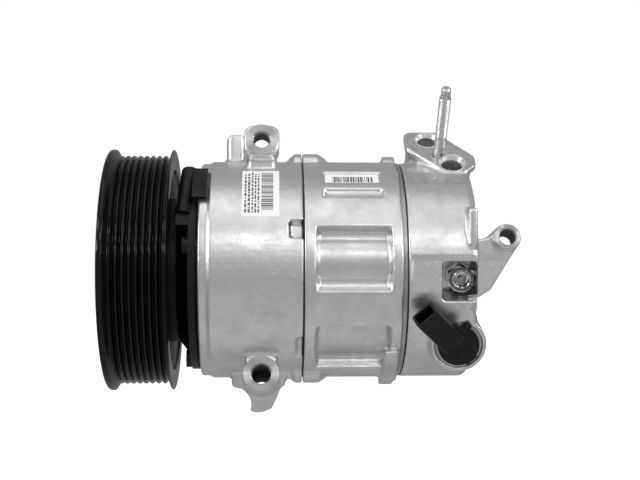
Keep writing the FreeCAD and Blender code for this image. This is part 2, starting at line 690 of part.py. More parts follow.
def make_block():
    front = "split_x + gasket_half"
    barrel = turned("block_barrel", [
        (front, 0), (front, "barrel"), ("block_rear", "barrel"), ("block_rear", 0),
    ])
    windows = []
    bulges = []
    bores = []
    step = 360 / BORES
    for i in range(BORES):
        angle = size("bore_first") + step * i
        y, z = polar("bulge_radius + 34.6", angle)
        rim_width = 37.5 if i != 1 else 30
        sunk = window(f"block_window_{i}", (37.5, 30), (42, rim_width), 10, (115.2, y, z),
                      around(angle))
        if i == 1:
            sunk = window("block_label_pad", (33, 11), (34, 12), 10,
                          (115.4, *polar(60.4, 56)), around(56))
        windows.append(sunk)
        y, z = polar("bore_circle", angle)
        bulges.append(rod(f"block_bulge_{i}", "bulge_radius", 44, (94, y, z)))
        bores.append(rod(f"block_bore_{i}", "bore_radius", 60, (front, y, z)))
    rib_y, rib_z = polar(60.2, 42.3)
    small_window = window("block_small_window", (31, 5), (36, 9.5), 5, (115.4, rib_y, rib_z),
                          around(42.3))
    front_bosses = bolt_bosses("block_front_boss", front, 9, 4.4, False)
    rear_bosses = []
    for i in BOSSED_BOLTS:
        y, z = polar("boss_circle - 1.4", bolt_angles()[i])
        rear_bosses.append(rod(f"block_rear_boss_{i}", "boss_radius", 7, ("block_rear - 7", y, z)))
    lug = shared("block_lug", ring("lug_band", "block_rear - 8.8", "block_rear - 1.6", 58, 66.2),
                 block("lug_zone", (20, 46, 30), ("block_rear - 14", -48, -74)))
    ahead = rod("block_ahead", 90, 30, ("split_x + gasket_half - 30", 0, 0))
    solid = fused("block_solid", cut("block_windows", barrel, *windows, small_window), *bulges,
                  *front_bosses, *rear_bosses, lug)
    centre = turned("block_centre", [
        ("split_x - 2", 0), ("split_x - 2", 50), ("split_x + 3.6", 50), ("split_x + 3.6", 21),
        (92, 12), (124, 12), (124, 6), (150, 6), (150, 0),
    ])
    node("cylinder_block", cut("block", solid, ahead, centre, *bores,
                               *bolt_holes("block_bolt_hole", front, 60)))


# ---------------------------------------------------------------- valve plate stack

def make_valve_stack():
    start = "block_rear"
    stack = (
        ("suction_reed_plate", "reed_thick", "plate_stack - 0.5", 3.4, 47.0),
        ("valve_plate", "valve_plate_thick", "plate_stack", 3.0, 33.0),
        ("discharge_reed_plate", "reed_thick", "plate_stack - 0.3", 3.2, 45.0),
        ("head_gasket", "head_front - block_rear - 2 * reed_thick - valve_plate_thick",
         "plate_stack - 0.5", 4.0, 33.0),
    )
    for name, thick, radius, hole, circle in stack:
        end = f"{start} + {thick}"
        disc = turned(name + "_disc", [(start, 0), (start, radius), (end, radius), (end, 0)])
        drilled(disc, name + "_bolt", "bolt_hole", "bolt_circle", size("bolt_first"), BORES)
        node(name, drilled(disc, name + "_port", hole, circle, size("bore_first"), BORES))
        start = end


# ---------------------------------------------------------------- rear head

def port_frame():
    """Axis of the hose flange: up and toward the ears."""
    return tilted(90 - size("port_tilt"))


def in_flange(across, away):
    """Point in the flange face, from its middle."""
    up = math.radians(size("port_tilt"))
    return (f"port_x + ({across})", f"port_y + {math.cos(up):.6f} * ({away})",
            f"port_z + {math.sin(up):.6f} * ({away})")


def make_flange():
    normal = port_frame()
    turn = aim(normal)
    plate = prism("flange_plate", [
        (-19.2, 3), (-19.2, 18.8), (-0.6, 19.2), (19.6, -4.2), (19.6, -12.5), (13, -18.8), (1.5, -18.8),
    ], 4, along(in_flange(0, 0), normal, -4), turn)
    plate = rounded(plate, 4.6, lambda edge: parallel(edge, normal))
    neck = prism("flange_neck", [
        (-17.4, 2.5), (-17.4, 18.0), (-0.8, 18.2), (17, -2.4), (17.4, -11), (12.4, -17.6), (1.2, -17.8),
    ], 34, along(in_flange(0, 0), normal, -37), turn)
    neck = rounded(neck, 4.2, lambda edge: parallel(edge, normal))
    rib = block("flange_rib", (3, 3, 24), along(in_flange(7.5, -17), normal, -26), turn)
    return [plate, neck, rib]


def stud_foot():
    """Where the stud leaves the flange face."""
    return in_flange(-0.5, -3)


def make_flange_bores():
    normal = port_frame()
    inward = normal * -1
    tools = []
    for name, radius, across, away in (
        ("suction", "suction_radius", "port_side", "-port_gap"),
        ("discharge", "discharge_radius", "-port_side", "port_gap"),
    ):
        mouth = in_flange(across, away)
        tools.append(rod(f"{name}_bore", radius, "spigot_depth + 1", along(mouth, inward, -1), inward))
        tools.append(rod(f"{name}_passage", f"{radius} - passage_step", "port_depth", mouth, inward))
        tools.append(cone(f"{name}_chamfer", f"{radius} + 1.6", radius, "port_chamfer", mouth, inward))
    foot = stud_foot()
    tools.append(rod("stud_hole", "stud_radius - 0.3", 10.5, along(foot, inward, -1), inward))
    tools.append(rod("stud_relief", "stud_radius + 0.2", 2.2, along(foot, inward, -1), inward))
    return tools


def make_arm():
    """Rear mounting arm with its through-bored boss."""
    inward = tilted(size("ear_tilt")) * -1
    centre = ("arm_x", "arm_y", "arm_z")
    boss = rod("arm_eye", "arm_boss", "arm_length", centre, inward)
    plate = prism("arm_plate", [
        (-31, -4.3), (-11, -0.8), (-3, 6.2), (7.2, -3.6), (-9.5, -30.5), (-16.5, -34.8), (-31, -36),
    ], 8, ("arm_x", -1.5, "arm_z"), Rotation(ALONG_X, 90))
    ridge = prism("arm_ridge", [
        (-31, -3.8), (-11, -0.5), (-3, 6.8), (6.6, -4), (2.5, -10.8), (-31, -11.8),
    ], 10.5, ("arm_x", 0, "arm_z"), Rotation(ALONG_X, 90))
    hole = rod("arm_bore", "arm_hole", 40, along(centre, inward, -8), inward)
    return [boss, plate, ridge], [hole]


def service_point(part, distance):
    """Point on the axis of the relief or control valve, a distance out from its face."""
    face = (f"{part}_x", f"{part}_y", f"{part}_z")
    return along(face, tilted(-size("service_tilt")), distance)


def make_rear_head():
    outward = tilted(-size("service_tilt"))
    inward = outward * -1
    shell = turned("head_shell", [
        ("head_front", 0), ("head_front", "head_radius"), ("head_rear - 3.4", "head_radius"),
        ("head_rear - 1", "head_radius - 1"), ("head_rear", "head_radius - 3.4"),
        ("head_rear", 46), ("head_rear - 3", 43), ("head_rear - 3", 24), ("head_rear", 22),
        ("head_rear", 0),
    ])
    relief_well = window("relief_well", (18.7, 19), (19.5, 23), 40, service_point("relief", "-relief_reach"),
                         Rotation(ALONG_X, 180 + size("service_tilt")))
    relief_well.Placement.Base.x = 0
    bind(relief_well, ".Placement.Base.x", "relief_x - 1.5")
    bind(relief_well, ".Placement.Base.z", "relief_z + 4.6")
    relief_well = rounded(relief_well, 2.2, lambda edge: edge.Length > 15)
    ledge = block("head_ledge", (38, 20, 24), ("head_front + 1.2", -80.2, -17))
    carved = cut("head_carved", shell, relief_well, ledge)
    control = rod("control_boss_solid", "control_boss", 34, service_point("control", -34), outward)
    strip = block("head_strip", (4.6, 12, 21), ("head_rear - 5.6", -61.2, 12))
    strip = rounded(strip, 1.4, lambda edge: edge.Length > 2)
    flange = make_flange()
    arm, arm_holes = make_arm()
    solid = fused("head_solid", carved, control, strip, *flange, *arm)
    front = rod("head_before", 90, 30, ("head_front - 30", 0, 0))
    centre = turned("discharge_chamber", [
        ("head_front - 1", 0), ("head_front - 1", 27), ("head_front + chamber_depth", 27),
        ("head_front + chamber_depth + 2", 24), ("head_front + chamber_depth + 2", 0),
    ])
    outer = turned("suction_chamber", [
        ("head_front - 1", 31), ("head_front - 1", 50), ("head_front + 8", 50), ("head_front + 10", 47),
        ("head_front + 10", 34), ("head_front + 8", 31),
    ])
    sockets = [
        rod("control_socket", "control_bore", "control_length", service_point("control", "-control_length"),
            outward),
        rod("control_mouth", "control_bore + 0.6", 4, service_point("control", -3), outward),
        rod("relief_socket", 4.5, 22, service_point("relief", "-relief_reach - 18"), outward),
    ]
    heads = bolt_holes("head_spot", "head_rear - 6", 12, BOLT_HEAD + 0.5)
    node("rear_head", cut("head", solid, front, centre, outer, *sockets, *arm_holes, *heads,
                          *make_flange_bores(), *bolt_holes("head_bolt_hole", "head_front", 50)))


def make_bolts():
    bolts = []
    for i, angle in enumerate(bolt_angles()):
        y, z = polar("bolt_circle", angle)
        shank = rod(f"bolt_shank_{i}", "bolt_radius", "head_rear - 6 - split_x + 17",
                    ("split_x - 17", y, z))
        head = hexagon(f"bolt_head_{i}", 8, 5.0, ("head_rear - 6", y, z), ALONG_X)
        seat = rod(f"bolt_seat_{i}", BOLT_HEAD, 1.2, ("head_rear - 6", y, z))
        bolts.append(fused(f"through_bolt_{i}", shank, head, seat))
    node("through_bolts", group("bolt_set", bolts))


# ---------------------------------------------------------------- stud and valves

def make_stud():
    """Stud of the hose flange: collar bands at its foot, rolled thread, pilot tip."""
    normal = port_frame()
    foot = stud_foot()
    pieces = [
        rod("stud_root", "stud_radius - 0.3", 9, along(foot, normal, -9), normal),
        rod("stud_shank", "stud_radius - 0.15", 13, foot, normal),
        rod("stud_core", "stud_radius - 0.45", "stud_reach - 6", foot, normal),
        cone("stud_neck", "stud_radius - 0.45", "stud_radius - 0.9", 1.5,
             along(foot, normal, "stud_reach - 6"), normal),
        rod("stud_pilot", "stud_radius - 0.7", 4.5, along(foot, normal, "stud_reach - 5.5"), normal),
        cone("stud_tip", "stud_radius - 0.7", "stud_radius - 1.7", 1,
             along(foot, normal, "stud_reach - 1"), normal),
    ]
    for i, height in enumerate((2.6, 6.4, 9.6)):
        pieces.append(rod(f"stud_band_{i}", "stud_radius", 1.1, along(foot, normal, height), normal))
    for i in range(22):
        start = along(foot, normal, 13.4 + 1.15 * i)
        pieces.append(cone(f"stud_thread_{i}", "stud_radius - 0.45", "stud_radius", 0.5, start, normal))
        crest = along(foot, normal, 13.9 + 1.15 * i)
        pieces.append(cone(f"stud_crest_{i}", "stud_radius", "stud_radius - 0.45", 0.5, crest, normal))
    node("port_stud", fused("stud", *pieces))


def make_relief_valve():
    outward = tilted(-size("service_tilt"))
    base = "-relief_reach"
    body = fused(
        "relief_solid",
        hexagon("relief_hexagon", "relief_hex", 6.6, service_point("relief", f"{base} + 1.2"), outward,
                Vector(0, 0, 1)),
        rod("relief_flange", 7.2, 1.4, service_point("relief", base), outward),
        rod("relief_shell", "relief_cap", "relief_reach", service_point("relief", base), outward),
        rod("relief_thread", 4.5, 12, service_point("relief", f"{base} - 12"), outward),
    )
    mouth = rod("relief_mouth", 4.6, 3, service_point("relief", -2), outward)
    well = rod("relief_bore", 2.9, 30, service_point("relief", f"{base} - 9"), outward)
    inlet = rod("relief_inlet", 1.6, 10, service_point("relief", f"{base} - 14"), outward)
    node("relief_valve_body", cut("relief", body, mouth, well, inlet))
    node("relief_poppet", fused(
        "poppet",
        rod("poppet_head", 2.75, 3, service_point("relief", f"{base} - 8.9"), outward),
        rod("poppet_stem", 1.1, 17.6, service_point("relief", f"{base} - 8.9"), outward),
    ))
    node("relief_spring", coil_spring("relief_coil", 1.95, 0.35, 1.7, 8.6,
                                      service_point("relief", f"{base} - 5.2"), outward))
    cap = rod("guide_disc", 2.85, 1.4, service_point("relief", f"{base} + 5.4"), outward)
    cap_hole = rod("guide_hole", 1.2, 4, service_point("relief", f"{base} + 4"), outward)
    node("relief_spring_seat", cut("relief_guide", cap, cap_hole))


def make_control_valve():
    outward = tilted(-size("service_tilt"))
    face = service_point("control", 0)
    shell = fused(
        "control_solid",
        rod("control_barrel", "control_bore - 0.1", 24, service_point("control", -26), outward),
        rod("control_waist", 8, 12, service_point("control", -36), outward),
        rod("control_nose", "control_bore - 2.5", 5, service_point("control", -41), outward),
    )
    well = rod("control_well", 3.4, 24, service_point("control", -30), outward)
    node("control_valve_body", cut("control_shell", shell, well))
    node("control_valve_plunger", rod("plunger", 3.3, 14, service_point("control", -29.9), outward))
    node("control_valve_spring", coil_spring("control_coil", 2.4, 0.4, 2.0, 7.0,
                                             service_point("control", -14.6), outward))
    snap = rod("control_snap_outer", "control_bore + 0.55", 0.9, service_point("control", -1.9), outward)
    snap_hole = rod("control_snap_inner", "control_bore - 0.9", 4, service_point("control", -3), outward)
    cap = rod("control_disc", "control_bore - 1", 2.7, service_point("control", -2), outward)
    node("control_snap_ring", cut("snap_ring", snap, snap_hole))
    node("control_valve_cap", cap_with_socket(cap, face, outward))


def cap_with_socket(cap, face, outward):
    """Black cap of the control valve with its two-pin socket, which leans toward the block."""
    direction = Vector(-23.5, -20.0, 21.0)
    direction.normalize()
    flat = direction - outward * direction.dot(outward)
    flat.normalize()
    across = outward.cross(flat)
    raised = direction.cross(across)
    leaning = Rotation(direction, across, raised, "XYZ")
    upright = Rotation(flat, across, outward, "XYZ")

    def corner(forward, side, lift):
        return along(face, direction * forward + across * side + raised * lift, 1)

    body = block("socket_body", (27, 13, 10), corner(9.5, -6.5, 0.6), leaning)
    body = rounded(body, 1.8, lambda edge: parallel(edge, direction))
    hollow = block("socket_cavity", (14, 10.4, 7.4), corner(24, -5.2, 1.9), leaning)
    hollow = rounded(hollow, 1.2, lambda edge: parallel(edge, direction))
    latch = block("socket_latch", (7, 2.4, 4), corner(10, -8.6, 3), leaning)
    foot = block("socket_foot", (8.5, 12, 8), along(along(face, across, -6), flat, 6), upright)
    foot = rounded(foot, 1.5, lambda edge: parallel(edge, outward))
    bar = block("cap_bar", (20, 7, 2), along(along(face, across, -3.5), flat, -11), upright)
    key = block("cap_key", (3, 5, 2.2), along(along(face, across, -12.4), flat, 4), upright)
    pins = [block(f"cap_pin_{i}", (9, 0.8, 2.2), corner(23.5, side, 4.5), leaning)
            for i, side in enumerate((-2.6, 1.8))]
    shell = cut("socket_hollowed", fused("socket_outer", cap, body, latch, foot, bar, key), hollow)
    return fused("socket_whole", shell, *pins)


def make_check_valve():
    """Non-return valve in the discharge port."""
    inward = port_frame() * -1
    mouth = in_flange("-port_side", "port_gap")
    tube = rod("check_tube", "discharge_radius - passage_step - 0.02", 13, along(mouth, inward, 14), inward)
    well = rod("check_well", 4.0, 9, along(mouth, inward, 17), inward)
    through = rod("check_through", 2.6, 30, along(mouth, inward, 6), inward)
    node("check_valve_seat", cut("check_seat", tube, well, through))
    cup = rod("check_cup", 3.9, 4.0, along(mouth, inward, 21.95), inward)
    node("check_valve_piston", cut("check_piston", cup,
                                   rod("check_hollow", 2.8, 3, along(mouth, inward, 21.9), inward)))


# ---------------------------------------------------------------- labels

def label_on(name, radius, x_middle, angle, length, width, thick):
    """Thin sticker bent round the barrel."""
    outer = rod(name + "_outer", f"{radius} + {thick}", length, (f"{x_middle} - {length} / 2", 0, 0))
    inner = rod(name + "_inner", radius, f"{length} + 2", (f"{x_middle} - {length} / 2 - 1", 0, 0))
    skin = cut(name + "_skin", outer, inner)
    y, z = polar(radius, angle)
    half = block(name + "_patch", (length, 8, width), (f"{x_middle} - {length} / 2", y, z),
                 around(angle))
    down_y, down_z = polar(1, angle + 90)
    bind(half, ".Placement.Base.y", f"{y} + {down_y} * {width} / 2 - ({polar(4, angle)[0]})")
    bind(half, ".Placement.Base.z", f"{z} + {down_z} * {width} / 2 - ({polar(4, angle)[1]})")
    return node(name, shared(name + "_sticker", skin, half))


def make_labels():
    label_on("part_label", "barrel", 65.2, 44.3, 20.2, 36.9, 0.15)
    y, z = polar(60.4, 56)
    node("barcode_label", block("barcode", (29.6, 0.15, 9.6), ("115.4 - 29.6 / 2", y, z), around(56)))
    shift_y, shift_z = polar(4.8, 56 + 90)
    bind(nodes["barcode_label"], ".Placement.Base.y", f"{y} + {shift_y}")
    bind(nodes["barcode_label"], ".Placement.Base.z", f"{z} + {shift_z}")


# ---------------------------------------------------------------- build and export

def build():
    make_pulley()
    make_pulley_bearing()
    make_coil()
    make_armature()
    make_hub()
    make_shaft()
    make_swash_drive()
    make_pistons()
    make_front_housing()
    make_block()
    make_valve_stack()
    make_rear_head()
    make_bolts()
    make_stud()
    make_relief_valve()
    make_control_valve()
    make_check_valve()
    make_labels()
    document.recompute()


def export():
    broken = [item.Name for item in document.Objects if {"Invalid", "Error"} & set(item.State)]
    if broken:
        raise RuntimeError(f"objects that failed: {broken}")
    os.makedirs("parts", exist_ok=True)
    for name, item in nodes.items():
        shape = item.Shape
        if shape.isNull() or not shape.isValid() or not shape.Solids:
            raise RuntimeError(f"{name} has no sound solid")
        shape.exportStep(f"parts/{name}.step")


build()
export()
print(len(nodes), "sub-parts written")
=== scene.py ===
import json
import math

import bmesh
import bpy
import numpy as np
from mathutils import Matrix, Vector


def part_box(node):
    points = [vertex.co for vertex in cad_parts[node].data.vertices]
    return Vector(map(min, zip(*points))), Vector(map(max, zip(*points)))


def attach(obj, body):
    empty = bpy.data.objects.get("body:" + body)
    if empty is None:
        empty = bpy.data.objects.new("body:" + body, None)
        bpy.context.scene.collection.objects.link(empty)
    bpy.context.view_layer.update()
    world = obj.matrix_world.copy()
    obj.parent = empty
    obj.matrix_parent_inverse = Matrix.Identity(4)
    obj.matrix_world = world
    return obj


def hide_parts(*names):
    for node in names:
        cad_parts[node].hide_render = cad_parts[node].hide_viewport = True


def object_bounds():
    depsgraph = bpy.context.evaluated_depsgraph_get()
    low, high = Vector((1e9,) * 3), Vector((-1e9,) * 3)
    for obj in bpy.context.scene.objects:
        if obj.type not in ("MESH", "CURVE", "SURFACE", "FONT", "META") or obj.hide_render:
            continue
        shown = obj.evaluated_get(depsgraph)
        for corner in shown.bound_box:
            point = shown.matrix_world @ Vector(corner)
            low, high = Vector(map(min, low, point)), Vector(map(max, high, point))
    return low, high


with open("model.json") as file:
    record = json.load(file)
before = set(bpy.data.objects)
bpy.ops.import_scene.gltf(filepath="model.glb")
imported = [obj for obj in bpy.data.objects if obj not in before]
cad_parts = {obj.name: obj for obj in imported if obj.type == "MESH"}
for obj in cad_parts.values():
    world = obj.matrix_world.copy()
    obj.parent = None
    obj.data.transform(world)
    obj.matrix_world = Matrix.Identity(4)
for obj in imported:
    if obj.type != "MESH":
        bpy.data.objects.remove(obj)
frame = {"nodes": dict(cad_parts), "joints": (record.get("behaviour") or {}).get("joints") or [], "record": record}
CAD_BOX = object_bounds()
NODES = frame["nodes"]
MM = 0.001
MOUNTS = {mount["name"]: mount for mount in frame["record"]["mounts"]}
JOINTS = {joint["name"]: joint for joint in frame["joints"]}


def mount_end(name):
    """Where a bore mount's wall ends on the side that its axis points to."""
    mount = MOUNTS[name]
    half = mount["dims"]["length_mm"] * MM / 2
    return Vector(mount["pos_m"]) + Vector(mount["axis"]) * half


# ---------------------------------------------------------------- materials

class Paint:
    """One procedural material, built node by node on the object's own coordinates."""

    def __init__(self, name, colour, metallic, roughness, **sockets):
        self.material = bpy.data.materials.new(name)
        self.material.use_nodes = True
        self.tree = self.material.node_tree
        self.shader = self.tree.nodes["Principled BSDF"]
        self.shader.inputs["Base Color"].default_value = (*colour, 1)
        self.shader.inputs["Metallic"].default_value = metallic
        self.shader.inputs["Roughness"].default_value = roughness
        for socket, value in sockets.items():
            self.shader.inputs[socket.replace("_", " ")].default_value = value
        self.place = self.tree.nodes.new("ShaderNodeTexCoord").outputs["Object"]
        self.height = None

    def node(self, kind, **values):
        """New shader node; each value sets its property or, failing that, its input socket."""
        item = self.tree.nodes.new("ShaderNode" + kind)
        for name, value in values.items():
            if hasattr(item, name):
                setattr(item, name, value)
            else:
                item.inputs[name.replace("_", " ")].default_value = value
        return item

    def join(self, output, target):
        """Links a node's output to an input socket."""
        self.tree.links.new(output, target)

    def noise(self, size_mm, detail=3.0, roughness=0.55, stretch=None):
        """Noise with features of a size in millimetres, drawn out by an optional stretch."""
        item = self.node("TexNoise", Scale=1.0 / (size_mm * MM), Detail=detail, Roughness=roughness)
        source = self.place
        if stretch:
            mapping = self.node("Mapping")
            mapping.inputs["Scale"].default_value = stretch
            self.join(source, mapping.inputs["Vector"])
            source = mapping.outputs["Vector"]
        self.join(source, item.inputs["Vector"])
        return item.outputs["Fac"]

    def ramp(self, value, stops):
        """Colour from a 0..1 value, by (place, colour) stops."""
        item = self.node("ValToRGB")
        band = item.color_ramp
        while len(band.elements) < len(stops):
            band.elements.new(0.5)
        for element, (place, colour) in zip(band.elements, stops):
            element.position = place
            element.color = (*colour, 1)
        self.join(value, item.inputs["Fac"])
        return item.outputs["Color"]

    def spread(self, value, low, high):
        """Maps the middle of a 0..1 noise to a span."""
        item = self.node("MapRange")
        item.inputs["From Min"].default_value = 0.3
        item.inputs["From Max"].default_value = 0.7
        item.inputs["To Min"].default_value = low
        item.inputs["To Max"].default_value = high
        self.join(value, item.inputs["Value"])
        return item.outputs["Result"]

    def colour_from(self, output):
        """Takes the base colour from a node's output."""
        self.join(output, self.shader.inputs["Base Color"])

    def roughness_from(self, output):
        """Takes the roughness from a node's output."""
        self.join(output, self.shader.inputs["Roughness"])

    def bump(self, value, depth_mm, strength=1.0):
        """Adds relief of a depth in millimetres, on top of any added before."""
        item = self.node("Bump", Distance=depth_mm * MM, Strength=strength)
        self.join(value, item.inputs["Height"])
        if self.height is not None:
            self.join(self.height, item.inputs["Normal"])
        self.height = item.outputs["Normal"]
        self.join(self.height, self.shader.inputs["Normal"])


def grey(value, tint=0.0):
    """Grey of a value, a little bluer with a tint."""
    return (value - tint, value, value + tint)


def cast_aluminium():
    """Shot-blasted die casting: fine grain, faint flow marks and duller patches."""
    paint = Paint("cast_aluminium", grey(0.8, 0.004), 1.0, 0.4)
    patches = paint.noise(14, detail=6, roughness=0.68)
    grain = paint.noise(0.55, detail=2)
    paint.colour_from(paint.ramp(patches, ((0.3, grey(0.7, 0.006)), (0.7, grey(0.9, 0.003)))))
    paint.roughness_from(paint.spread(patches, 0.44, 0.26))
    paint.bump(paint.noise(9, detail=3), 0.22)
    paint.bump(grain, 0.028)
    paint.bump(paint.ramp(paint.noise(1.7, detail=1), ((0.68, grey(1)), (0.74, grey(0)))), 0.06)
    return paint.material


def milled_aluminium():
    """Milled face of the hose flange: brighter, with the fine straight marks of the cutter."""
    paint = Paint("milled_aluminium", grey(0.88), 1.0, 0.3)
    paint.bump(paint.noise(0.5, detail=2, stretch=(1, 0.08, 0.08)), 0.02)
    stains = paint.noise(3.5, detail=4)
    paint.colour_from(paint.ramp(stains, ((0.35, grey(0.66)), (0.6, grey(0.9)))))
    paint.roughness_from(paint.spread(stains, 0.38, 0.24))
    return paint.material


def bore_painted_shade():
    """Dull dark lining of the drilled mounting bores, painted darker than the metal as shade, mottled at random.
    """
    # Dark, barely shiny colour paints the shade deep inside the bores.
    paint = Paint("bore_painted_shade", grey(0.2), 0.0, 0.8, Specular_IOR_Level=0.1)
    stains = paint.noise(2.2, detail=3)
    paint.colour_from(paint.ramp(stains, ((0.3, grey(0.14)), (0.75, grey(0.34)))))
    paint.bump(paint.noise(0.3, detail=1), 0.01)
    return paint.material


def port_wall():
    """Clean reamed wall of the hose ports."""
    paint = Paint("port_wall", grey(0.9), 0.5, 0.3)
    stains = paint.noise(2.5, detail=3)
    paint.colour_from(paint.ramp(stains, ((0.3, grey(0.8)), (0.75, grey(0.95)))))
    paint.roughness_from(paint.spread(paint.noise(1.5), 0.24, 0.36))
    return paint.material


RINGS_PER_METRE = 5000.0


def machined_aluminium():
    """Turned face: brighter, with rings about the piece's own axis."""
    paint = Paint("machined_aluminium", grey(0.6), 1.0, 0.3, Anisotropic=0.95,
                  Anisotropic_Rotation=0.25)
    tangent = paint.node("Tangent", direction_type="RADIAL", axis="Z")
    paint.join(tangent.outputs["Tangent"], paint.shader.inputs["Tangent"])
    apart = paint.node("SeparateXYZ")
    paint.join(paint.place, apart.inputs["Vector"])
    flat = paint.node("CombineXYZ")
    paint.join(apart.outputs["X"], flat.inputs["X"])
    paint.join(apart.outputs["Y"], flat.inputs["Y"])
    length = paint.node("VectorMath", operation="LENGTH")
    paint.join(flat.outputs["Vector"], length.inputs[0])
    rings = paint.node("TexNoise", noise_dimensions="1D", Scale=1.0, Detail=2.0)
    scaled = paint.node("Math", operation="MULTIPLY")
    scaled.inputs[1].default_value = RINGS_PER_METRE
    paint.join(length.outputs["Value"], scaled.inputs[0])
    paint.join(scaled.outputs["Value"], rings.inputs["W"])
    paint.bump(rings.outputs["Fac"], 0.008)
    paint.roughness_from(paint.spread(rings.outputs["Fac"], 0.4, 0.5))
    return paint.material


def pulley_paint():
    """Gloss black paint over turned steel, with a trace of orange peel."""
    paint = Paint("pulley_paint", grey(0.005), 0.0, 0.3, Coat_Weight=0.36, Coat_Roughness=0.03,
                  Specular_IOR_Level=0.08)
    paint.bump(paint.noise(3.5, detail=1), 0.003)
    paint.colour_from(paint.ramp(paint.noise(9), ((0.3, grey(0.003)), (0.8, grey(0.008)))))
    paint.roughness_from(paint.spread(paint.noise(5), 0.24, 0.36))
    return paint.material


def coil_paint():
    """Duller black e-coat of the coil and its plate."""
    paint = Paint("coil_paint", grey(0.008), 0.0, 0.42, Specular_IOR_Level=0.3)
    paint.colour_from(paint.ramp(paint.noise(8), ((0.3, grey(0.004)), (0.8, grey(0.014)))))
    paint.roughness_from(paint.spread(paint.noise(4), 0.34, 0.52))
    paint.bump(paint.noise(0.9, detail=2), 0.02)
    return paint.material


def black_plastic():
    """Glass-filled nylon: satin black with a fine spark-eroded texture."""
    paint = Paint("black_plastic", grey(0.008), 0.0, 0.38, Specular_IOR_Level=0.3)
    patches = paint.noise(6)
    paint.colour_from(paint.ramp(patches, ((0.3, grey(0.005, 0.0004)), (0.8, grey(0.012, 0.0006)))))
    paint.roughness_from(paint.spread(paint.noise(3), 0.32, 0.46))
    paint.bump(paint.noise(0.3, detail=2), 0.012)
    return paint.material


def plated_steel():
    """Zinc-flake plated steel of the stud, bolts and relief valve."""
    paint = Paint("plated_steel", grey(0.66, 0.004), 1.0, 0.36)
    patches = paint.noise(3, detail=4)
    paint.colour_from(paint.ramp(patches, ((0.3, grey(0.54, 0.003)), (0.75, grey(0.78)))))
    paint.roughness_from(paint.spread(paint.noise(1.5), 0.28, 0.48))
    paint.bump(paint.noise(0.35, detail=2), 0.015)
    return paint.material


def stud_steel():
    """Dull plating of the stud, worn brighter in places."""
    paint = Paint("stud_steel", grey(0.7), 1.0, 0.4)
    stains = paint.noise(2.4, detail=3)
    paint.colour_from(paint.ramp(stains, ((0.3, grey(0.6)), (0.7, grey(0.84)))))
    paint.roughness_from(paint.spread(stains, 0.46, 0.34))
    return paint.material


def valve_plating():
    """Bright plating of the relief valve, stained dark in patches."""
    paint = Paint("valve_plating", grey(0.8), 1.0, 0.16)
    stains = paint.noise(2.4, detail=3)
    bands = ((0.36, grey(0.14)), (0.5, grey(0.6)), (0.62, grey(0.97)))
    paint.colour_from(paint.ramp(stains, bands))
    paint.roughness_from(paint.spread(paint.noise(1.2), 0.1, 0.24))
    paint.bump(paint.noise(1.8, detail=1), 0.03)
    return paint.material


def valve_oxide_and_shade():
    """Dark mirror finish of the annulus at the relief valve's end: oxide, made darker still as painted shade of
    the groove.
    """
    # The dark base colour is partly oxide and partly painted shade.
    paint = Paint("valve_oxide_and_shade", grey(0.14), 1.0, 0.14)
    film = paint.noise(1.5, detail=3)
    paint.colour_from(paint.ramp(film, ((0.35, grey(0.06)), (0.65, grey(0.26)))))
    return paint.material


def ground_steel():
    """Ground bearing races and balls, with faint lines along the grinding."""
    paint = Paint("ground_steel", grey(0.62), 1.0, 0.2)
    paint.roughness_from(paint.spread(paint.noise(1.0, stretch=(0.05, 1, 1)), 0.14, 0.3))
    paint.bump(paint.noise(0.4, stretch=(0.05, 1, 1)), 0.006)
    return paint.material


def turned_steel():
    """Plain turned steel of the pieces inside."""
    paint = Paint("turned_steel", grey(0.5), 1.0, 0.34)
    paint.colour_from(paint.ramp(paint.noise(6), ((0.3, grey(0.4)), (0.8, grey(0.56)))))
    paint.bump(paint.noise(0.5, stretch=(1, 0.06, 0.06)), 0.012)
    return paint.material


def gasket_rubber():
    """Dull black rubber of seals and gasket coatings."""
    paint = Paint("gasket_black", grey(0.02), 0.0, 0.6)
    paint.bump(paint.noise(0.8), 0.02)
    paint.roughness_from(paint.spread(paint.noise(2), 0.5, 0.7))
    return paint.material


def copper_wire():
    """Enamelled winding: fine turns round the shaft axis."""
    paint = Paint("copper_wire", (0.6, 0.25, 0.09), 1.0, 0.3)
    wave = paint.node("TexWave", wave_type="BANDS", bands_direction="X", Scale=320.0)
    paint.join(paint.place, wave.inputs["Vector"])
    turns = wave.outputs["Fac"]
    paint.bump(turns, 0.2)
    paint.colour_from(paint.ramp(turns, ((0, (0.35, 0.12, 0.04)), (1, (0.7, 0.32, 0.13)))))
    return paint.material


def label_film_painted_glow():
    """White label stock, with a faint painted glow that makes it brighter than its light alone."""
    # The emission is painted light: the label glows though it is no lamp.
    paint = Paint("label_film_painted_glow", grey(0.95), 0.0, 0.4, Emission_Color=(1, 1, 1, 1),
                  Emission_Strength=0.16)
    paint.colour_from(paint.ramp(paint.noise(5), ((0.3, grey(0.92)), (0.8, grey(0.97)))))
    paint.bump(paint.noise(4), 0.02)
    return paint.material


def label_ink():
    """Thermal print, not quite black."""
    paint = Paint("label_ink", grey(0.12), 0.0, 0.5)
    paint.colour_from(paint.ramp(paint.noise(0.5), ((0.3, grey(0.08)), (0.8, grey(0.2)))))
    return paint.material


